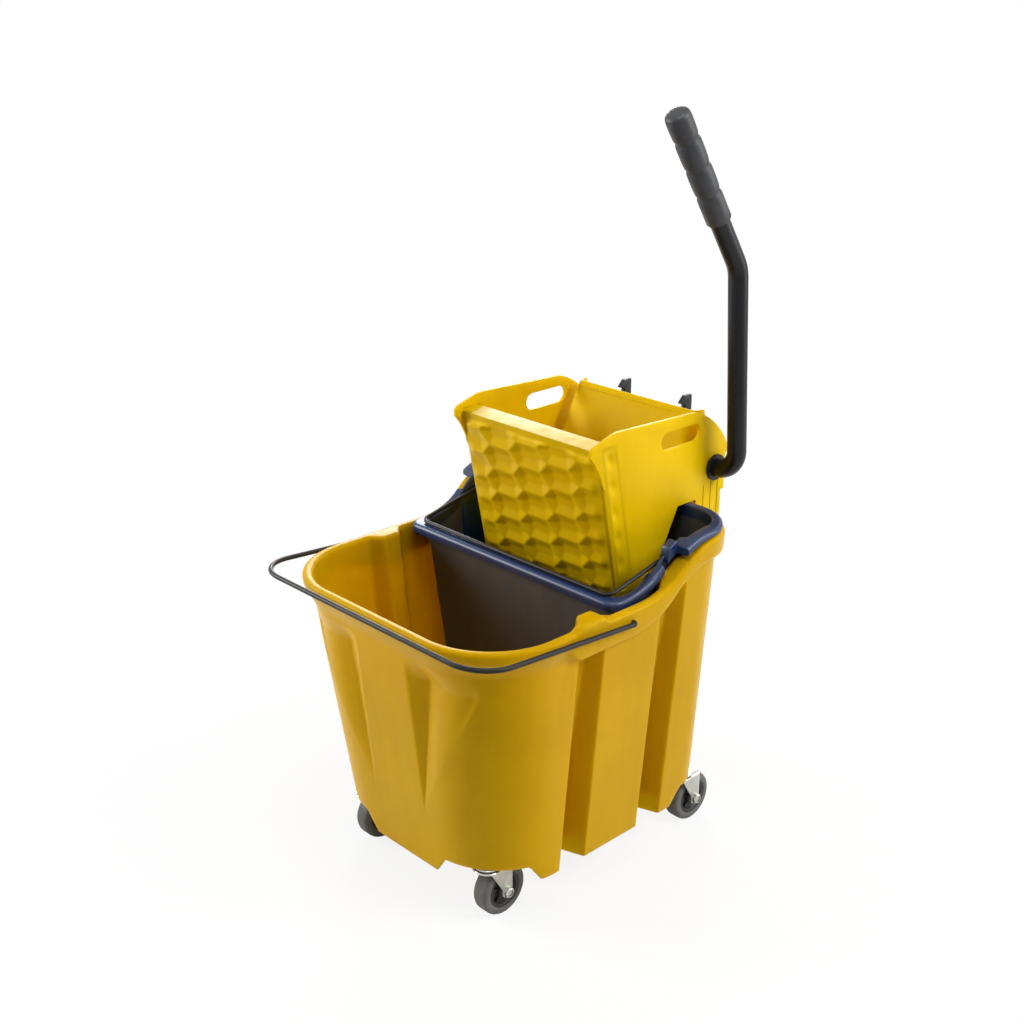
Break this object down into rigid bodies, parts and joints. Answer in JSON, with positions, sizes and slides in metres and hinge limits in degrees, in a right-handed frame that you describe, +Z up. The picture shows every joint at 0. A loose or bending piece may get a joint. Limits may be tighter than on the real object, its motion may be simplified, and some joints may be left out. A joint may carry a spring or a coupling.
{
  "type": "mop bucket with side-press wringer",
  "caption": "Yellow plastic mop bucket on swivel casters with a lift-out charcoal pail, wire bails and a side-press wringer worked by a tall bent lever.",
  "frame": {"origin": "On the floor under the middle of the object's box.", "axes": "+X across the width towards the lever side, +Y from the bail end towards the wringer end, +Z up."},
  "size_m": [0.4044, 0.4999, 0.9163],
  "materials": {
    "bucket_yellow": "soft gloss moulded polyethylene, yellow",
    "wringer_yellow": "soft gloss moulded polypropylene, yellow",
    "pail_charcoal": "charcoal moulded plastic with a navy rim",
    "black_plastic": "black moulded plastic",
    "black_wire": "steel wire with a black coating",
    "black_tube": "steel tube with a black powder coating",
    "grip_rubber": "dark grey rubber grip",
    "zinc_steel": "zinc plated pressed steel",
    "hub_black": "black moulded plastic wheel core",
    "tyre_grey": "grey non-marking rubber tread"
  },
  "bodies": {
    "bucket": {"tub": "bucket_yellow", "caster_stem_front_right": "zinc_steel", "caster_stem_front_left": "zinc_steel", "caster_stem_rear_right": "zinc_steel", "caster_stem_rear_left": "zinc_steel"},
    "bucket_bail": {"bucket_bail": "black_wire"},
    "pail": {"pail": "pail_charcoal"},
    "pail_bail": {"pail_bail": "black_wire"},
    "wringer": {"wringer_basket": "wringer_yellow", "shaft_bush_right": "black_plastic", "shaft_bush_left": "black_plastic", "plate_hinge_pin": "zinc_steel"},
    "press_plate": {"press_plate": "wringer_yellow"},
    "lever": {"lever_tube": "black_tube", "lever_grip": "grip_rubber", "push_arm_right": "black_plastic", "push_arm_left": "black_plastic", "arm_pins": "zinc_steel", "shaft_end_cap": "black_plastic"},
    "caster_front_right": {"caster_fork_front_right": "zinc_steel", "axle_bolt_front_right": "zinc_steel", "axle_nut_front_right": "zinc_steel"},
    "wheel_front_right": {"wheel_hub_front_right": "hub_black", "wheel_tyre_front_right": "tyre_grey"},
    "caster_front_left": {"caster_fork_front_left": "zinc_steel", "axle_bolt_front_left": "zinc_steel", "axle_nut_front_left": "zinc_steel"},
    "wheel_front_left": {"wheel_hub_front_left": "hub_black", "wheel_tyre_front_left": "tyre_grey"},
    "caster_rear_right": {"caster_fork_rear_right": "zinc_steel", "axle_bolt_rear_right": "zinc_steel", "axle_nut_rear_right": "zinc_steel"},
    "wheel_rear_right": {"wheel_hub_rear_right": "hub_black", "wheel_tyre_rear_right": "tyre_grey"},
    "caster_rear_left": {"caster_fork_rear_left": "zinc_steel", "axle_bolt_rear_left": "zinc_steel", "axle_nut_rear_left": "zinc_steel"},
    "wheel_rear_left": {"wheel_hub_rear_left": "hub_black", "wheel_tyre_rear_left": "tyre_grey"}
  },
  "joints": [
    {"name": "bucket_bail_swing", "type": "hinge", "parent": "bucket", "child": "bucket_bail", "pos_m": [0, -0.007, 0.364], "axis": [-1, 0, 0], "range_deg": [0, 85]},
    {"name": "pail_lift", "type": "slide", "parent": "bucket", "child": "pail", "axis": [0, 0, 1], "range_m": [0, 0.19]},
    {"name": "pail_bail_swing", "type": "hinge", "parent": "pail", "child": "pail_bail", "pos_m": [0, 0.092, 0.41111], "axis": [-1, 0, 0], "range_deg": [0, 50]},
    {"name": "wringer_lift", "type": "slide", "parent": "pail", "child": "wringer", "axis": [0, 0, 1], "range_m": [0, 0.15]},
    {"name": "lever_swing", "type": "hinge", "parent": "wringer", "child": "lever", "pos_m": [0, 0.226, 0.473], "axis": [1, 0, 0], "range_deg": [0, 75]},
    {"name": "press_plate_swing", "type": "hinge", "parent": "wringer", "child": "press_plate", "pos_m": [0, 0.104, 0.358], "axis": [1, 0, 0], "range_deg": [0, 18.75]},
    {"name": "swivel_front_right", "type": "hinge", "parent": "bucket", "child": "caster_front_right", "pos_m": [0.111, -0.156, 0.07], "axis": [0, 0, 1], "continuous": true},
    {"name": "spin_front_right", "type": "hinge", "parent": "caster_front_right", "child": "wheel_front_right", "pos_m": [0.111, -0.138, 0.033], "axis": [1, 0, 0], "continuous": true},
    {"name": "swivel_front_left", "type": "hinge", "parent": "bucket", "child": "caster_front_left", "pos_m": [-0.111, -0.156, 0.07], "axis": [0, 0, 1], "continuous": true},
    {"name": "spin_front_left", "type": "hinge", "parent": "caster_front_left", "child": "wheel_front_left", "pos_m": [-0.111, -0.138, 0.033], "axis": [1, 0, 0], "continuous": true},
    {"name": "swivel_rear_right", "type": "hinge", "parent": "bucket", "child": "caster_rear_right", "pos_m": [0.134, 0.161, 0.07], "axis": [0, 0, 1], "continuous": true},
    {"name": "spin_rear_right", "type": "hinge", "parent": "caster_rear_right", "child": "wheel_rear_right", "pos_m": [0.134, 0.179, 0.033], "axis": [1, 0, 0], "continuous": true},
    {"name": "swivel_rear_left", "type": "hinge", "parent": "bucket", "child": "caster_rear_left", "pos_m": [-0.134, 0.161, 0.07], "axis": [0, 0, 1], "continuous": true},
    {"name": "spin_rear_left", "type": "hinge", "parent": "caster_rear_left", "child": "wheel_rear_left", "pos_m": [-0.134, 0.179, 0.033], "axis": [1, 0, 0], "continuous": true}
  ],
  "couplings": [
    {"joint": "press_plate_swing", "follows": "lever_swing", "ratio": 0.25}
  ]
}
